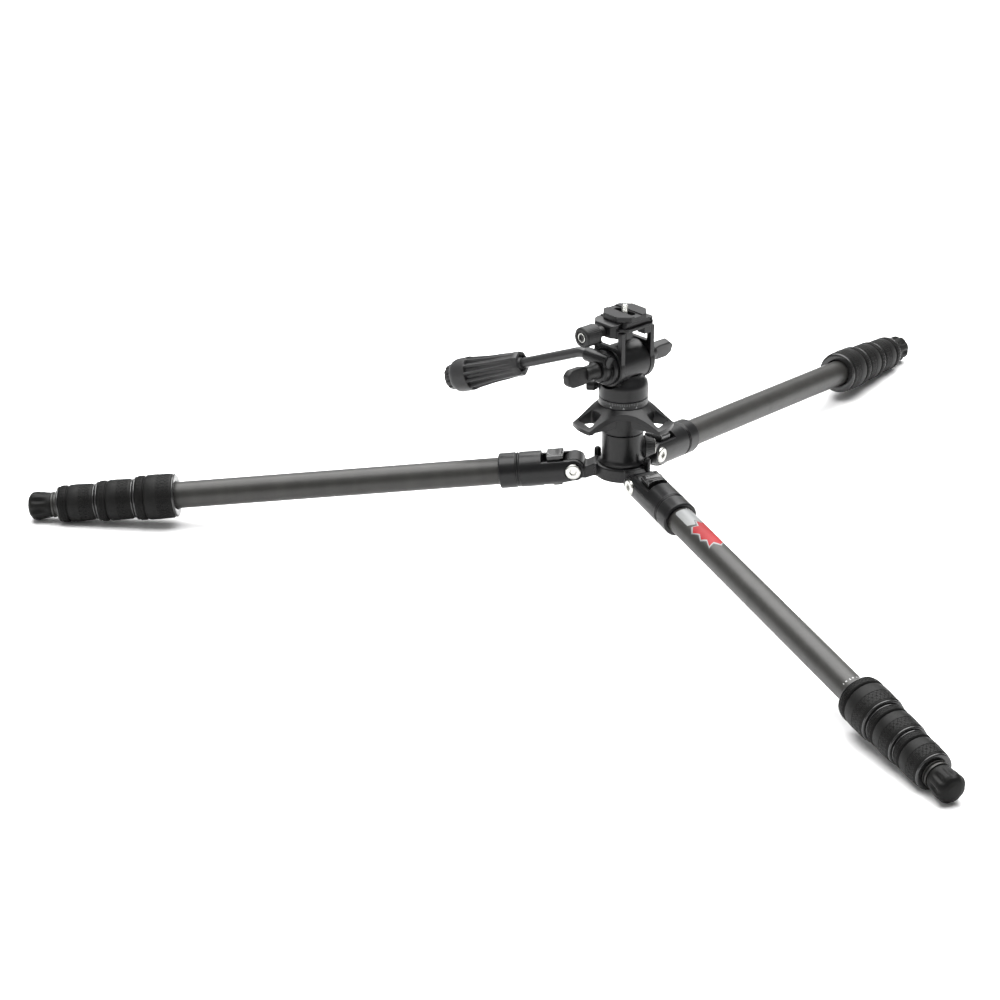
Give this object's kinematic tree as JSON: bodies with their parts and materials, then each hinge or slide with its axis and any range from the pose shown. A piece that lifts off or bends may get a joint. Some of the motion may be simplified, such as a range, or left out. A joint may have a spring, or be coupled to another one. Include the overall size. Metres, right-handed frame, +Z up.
{
  "type": "camera tripod with video head",
  "caption": "Compact tripod on spread, collapsed legs with rubber twist locks, a short column, strap lugs and a small pan and tilt video head with a handle and quick-release plate.",
  "frame": {"origin": "on the column's axis at the top of the rubber pads, where the camera screw stands out", "axes": "+Z up along the camera screw and the column; X along the tilt axle, with the pan handle on the -X side; -Y is the way a lens points"},
  "size_m": [0.9671, 0.9795, 0.2399],
  "materials": {
    "black_casting": "satin black, painted or anodised",
    "leg_tube": "dark grey satin tube",
    "handle_paint": "fine matte black paint",
    "knob_plastic": "moulded matte black",
    "bright_steel": "bright plated steel",
    "sleeve_rubber": "matte black, moulded tread",
    "grip_rubber": "matte dark grey, ribbed",
    "pad_rubber": "fine ribbed rubber"
  },
  "bodies": {
    "base": {"spider": "black_casting", "pivot_bolts": "bright_steel", "column_sleeve": "black_casting"},
    "column_knob": {"column_knob": "black_casting"},
    "column": {"lug_plate": "black_casting", "pan_ring": "black_casting"},
    "pan": {"pan_base": "black_casting", "tilt_drum": "black_casting"},
    "pan_knob": {"pan_knob": "knob_plastic"},
    "tilt": {"yoke": "black_casting", "clamp_body": "black_casting"},
    "tilt_knob": {"tilt_knob": "knob_plastic"},
    "handle": {"handle_bracket": "black_casting", "handle_tube": "handle_paint", "handle_grip": "grip_rubber"},
    "handle_knob": {"handle_knob": "knob_plastic"},
    "jaw": {"clamp_jaw": "black_casting"},
    "clamp_knob": {"clamp_knob": "knob_plastic"},
    "plate": {"quick_plate": "black_casting", "plate_pads": "pad_rubber"},
    "camera_screw": {"camera_screw": "bright_steel"},
    "leg_a": {"leg_a_fork": "black_casting", "leg_a_tube_1": "leg_tube"},
    "leg_a_tab": {"leg_a_tab": "black_casting"},
    "leg_a_lock_1": {"leg_a_lock_1": "black_casting", "leg_a_grip_1": "sleeve_rubber"},
    "leg_a_section_2": {"leg_a_tube_2": "leg_tube"},
    "leg_a_lock_2": {"leg_a_lock_2": "black_casting", "leg_a_grip_2": "sleeve_rubber"},
    "leg_a_section_3": {"leg_a_tube_3": "leg_tube"},
    "leg_a_lock_3": {"leg_a_lock_3": "black_casting", "leg_a_grip_3": "sleeve_rubber"},
    "leg_a_section_4": {"leg_a_tube_4": "leg_tube", "leg_a_foot": "sleeve_rubber"},
    "leg_b": {"leg_b_fork": "black_casting", "leg_b_tube_1": "leg_tube"},
    "leg_b_tab": {"leg_b_tab": "black_casting"},
    "leg_b_lock_1": {"leg_b_lock_1": "black_casting", "leg_b_grip_1": "sleeve_rubber"},
    "leg_b_section_2": {"leg_b_tube_2": "leg_tube"},
    "leg_b_lock_2": {"leg_b_lock_2": "black_casting", "leg_b_grip_2": "sleeve_rubber"},
    "leg_b_section_3": {"leg_b_tube_3": "leg_tube"},
    "leg_b_lock_3": {"leg_b_lock_3": "black_casting", "leg_b_grip_3": "sleeve_rubber"},
    "leg_b_section_4": {"leg_b_tube_4": "leg_tube", "leg_b_foot": "sleeve_rubber"},
    "leg_c": {"leg_c_fork": "black_casting", "leg_c_tube_1": "leg_tube"},
    "leg_c_tab": {"leg_c_tab": "black_casting"},
    "leg_c_lock_1": {"leg_c_lock_1": "black_casting", "leg_c_grip_1": "sleeve_rubber"},
    "leg_c_section_2": {"leg_c_tube_2": "leg_tube"},
    "leg_c_lock_2": {"leg_c_lock_2": "black_casting", "leg_c_grip_2": "sleeve_rubber"},
    "leg_c_section_3": {"leg_c_tube_3": "leg_tube"},
    "leg_c_lock_3": {"leg_c_lock_3": "black_casting", "leg_c_grip_3": "sleeve_rubber"},
    "leg_c_section_4": {"leg_c_tube_4": "leg_tube", "leg_c_foot": "sleeve_rubber"}
  },
  "joints": [
    {"name": "leg_a_fold", "type": "hinge", "parent": "base", "child": "leg_a", "pos_m": [-0.03165, 0.03324, -0.159], "axis": [-0.7242, -0.6896, 0], "range_deg": [0, 83]},
    {"name": "leg_a_tab_pull", "type": "slide", "parent": "leg_a", "child": "leg_a_tab", "axis": [-0.6851, 0.7194, -0.1142], "range_m": [0, 0.005], "stiffness_N_per_m": 300, "springref_m": -0.002},
    {"name": "leg_a_lock_1_turn", "type": "hinge", "parent": "leg_a", "child": "leg_a_lock_1", "pos_m": [-0.03165, 0.03324, -0.159], "axis": [-0.6851, 0.7194, -0.1142], "range_deg": [0, 120]},
    {"name": "leg_a_slide_2", "type": "slide", "parent": "leg_a", "child": "leg_a_section_2", "axis": [-0.6851, 0.7194, -0.1142], "range_m": [0, 0.3]},
    {"name": "leg_a_lock_2_turn", "type": "hinge", "parent": "leg_a_section_2", "child": "leg_a_lock_2", "pos_m": [-0.03165, 0.03324, -0.159], "axis": [-0.6851, 0.7194, -0.1142], "range_deg": [0, 120]},
    {"name": "leg_a_slide_3", "type": "slide", "parent": "leg_a_section_2", "child": "leg_a_section_3", "axis": [-0.6851, 0.7194, -0.1142], "range_m": [0, 0.3]},
    {"name": "leg_a_lock_3_turn", "type": "hinge", "parent": "leg_a_section_3", "child": "leg_a_lock_3", "pos_m": [-0.03165, 0.03324, -0.159], "axis": [-0.6851, 0.7194, -0.1142], "range_deg": [0, 120]},
    {"name": "leg_a_slide_4", "type": "slide", "parent": "leg_a_section_3", "child": "leg_a_section_4", "axis": [-0.6851, 0.7194, -0.1142], "range_m": [0, 0.3]},
    {"name": "leg_b_fold", "type": "hinge", "parent": "base", "child": "leg_b", "pos_m": [0.04461, 0.01079, -0.159], "axis": [-0.2351, 0.972, 0], "range_deg": [0, 83]},
    {"name": "leg_b_tab_pull", "type": "slide", "parent": "leg_b", "child": "leg_b_tab", "axis": [0.9656, 0.2336, -0.1142], "range_m": [0, 0.005], "stiffness_N_per_m": 300, "springref_m": -0.002},
    {"name": "leg_b_lock_1_turn", "type": "hinge", "parent": "leg_b", "child": "leg_b_lock_1", "pos_m": [0.04461, 0.01079, -0.159], "axis": [0.9656, 0.2336, -0.1142], "range_deg": [0, 120]},
    {"name": "leg_b_slide_2", "type": "slide", "parent": "leg_b", "child": "leg_b_section_2", "axis": [0.9656, 0.2336, -0.1142], "range_m": [0, 0.3]},
    {"name": "leg_b_lock_2_turn", "type": "hinge", "parent": "leg_b_section_2", "child": "leg_b_lock_2", "pos_m": [0.04461, 0.01079, -0.159], "axis": [0.9656, 0.2336, -0.1142], "range_deg": [0, 120]},
    {"name": "leg_b_slide_3", "type": "slide", "parent": "leg_b_section_2", "child": "leg_b_section_3", "axis": [0.9656, 0.2336, -0.1142], "range_m": [0, 0.3]},
    {"name": "leg_b_lock_3_turn", "type": "hinge", "parent": "leg_b_section_3", "child": "leg_b_lock_3", "pos_m": [0.04461, 0.01079, -0.159], "axis": [0.9656, 0.2336, -0.1142], "range_deg": [0, 120]},
    {"name": "leg_b_slide_4", "type": "slide", "parent": "leg_b_section_3", "child": "leg_b_section_4", "axis": [0.9656, 0.2336, -0.1142], "range_m": [0, 0.3]},
    {"name": "leg_c_fold", "type": "hinge", "parent": "base", "child": "leg_c", "pos_m": [-0.01296, -0.04403, -0.159], "axis": [0.9593, -0.2823, 0], "range_deg": [0, 83]},
    {"name": "leg_c_tab_pull", "type": "slide", "parent": "leg_c", "child": "leg_c_tab", "axis": [-0.2805, -0.953, -0.1142], "range_m": [0, 0.005], "stiffness_N_per_m": 300, "springref_m": -0.002},
    {"name": "leg_c_lock_1_turn", "type": "hinge", "parent": "leg_c", "child": "leg_c_lock_1", "pos_m": [-0.01296, -0.04403, -0.159], "axis": [-0.2805, -0.953, -0.1142], "range_deg": [0, 120]},
    {"name": "leg_c_slide_2", "type": "slide", "parent": "leg_c", "child": "leg_c_section_2", "axis": [-0.2805, -0.953, -0.1142], "range_m": [0, 0.3]},
    {"name": "leg_c_lock_2_turn", "type": "hinge", "parent": "leg_c_section_2", "child": "leg_c_lock_2", "pos_m": [-0.01296, -0.04403, -0.159], "axis": [-0.2805, -0.953, -0.1142], "range_deg": [0, 120]},
    {"name": "leg_c_slide_3", "type": "slide", "parent": "leg_c_section_2", "child": "leg_c_section_3", "axis": [-0.2805, -0.953, -0.1142], "range_m": [0, 0.3]},
    {"name": "leg_c_lock_3_turn", "type": "hinge", "parent": "leg_c_section_3", "child": "leg_c_lock_3", "pos_m": [-0.01296, -0.04403, -0.159], "axis": [-0.2805, -0.953, -0.1142], "range_deg": [0, 120]},
    {"name": "leg_c_slide_4", "type": "slide", "parent": "leg_c_section_3", "child": "leg_c_section_4", "axis": [-0.2805, -0.953, -0.1142], "range_m": [0, 0.3]},
    {"name": "column_knob_turn", "type": "hinge", "parent": "base", "child": "column_knob", "pos_m": [0, 0, -0.139], "axis": [0.8192, -0.5736, 0], "range_deg": [0, 180]},
    {"name": "column_lift", "type": "slide", "parent": "base", "child": "column", "axis": [0, 0, 1], "range_m": [0, 0.02]},
    {"name": "pan_turn", "type": "hinge", "parent": "column", "child": "pan", "pos_m": [0, 0, -0.079], "axis": [0, 0, 1], "continuous": true},
    {"name": "pan_knob_turn", "type": "hinge", "parent": "pan", "child": "pan_knob", "pos_m": [0, 0, -0.0765], "axis": [-0.6428, 0.766, 0], "range_deg": [0, 360]},
    {"name": "tilt", "type": "hinge", "parent": "pan", "child": "tilt", "pos_m": [0, 0, -0.051], "axis": [1, 0, 0], "range_deg": [-12, 75]},
    {"name": "tilt_knob_turn", "type": "hinge", "parent": "pan", "child": "tilt_knob", "pos_m": [0, 0, -0.051], "axis": [1, 0, 0], "range_deg": [0, 180]},
    {"name": "handle_angle", "type": "hinge", "parent": "tilt", "child": "handle", "pos_m": [0, 0, -0.051], "axis": [-1, 0, 0], "range_deg": [-30, 12]},
    {"name": "handle_knob_turn", "type": "hinge", "parent": "tilt", "child": "handle_knob", "pos_m": [0, 0, -0.051], "axis": [-1, 0, 0], "range_deg": [0, 180]},
    {"name": "jaw_open", "type": "slide", "parent": "tilt", "child": "jaw", "axis": [-1, 0, 0], "range_m": [0, 0.0026]},
    {"name": "clamp_knob_turn", "type": "hinge", "parent": "jaw", "child": "clamp_knob", "pos_m": [-0.03, 0.0025, -0.015], "axis": [-1, 0, 0], "range_deg": [0, 720]},
    {"name": "plate_slide", "type": "slide", "parent": "tilt", "child": "plate", "axis": [0, 1, 0], "range_m": [-0.01, 0.01]},
    {"name": "camera_screw_turn", "type": "hinge", "parent": "plate", "child": "camera_screw", "pos_m": [0, 0, 0], "axis": [0, 0, 1], "continuous": true}
  ],
  "couplings": [
    {"joint": "jaw_open", "follows": "clamp_knob_turn", "m_per_rad": 0.00019894}
  ]
}
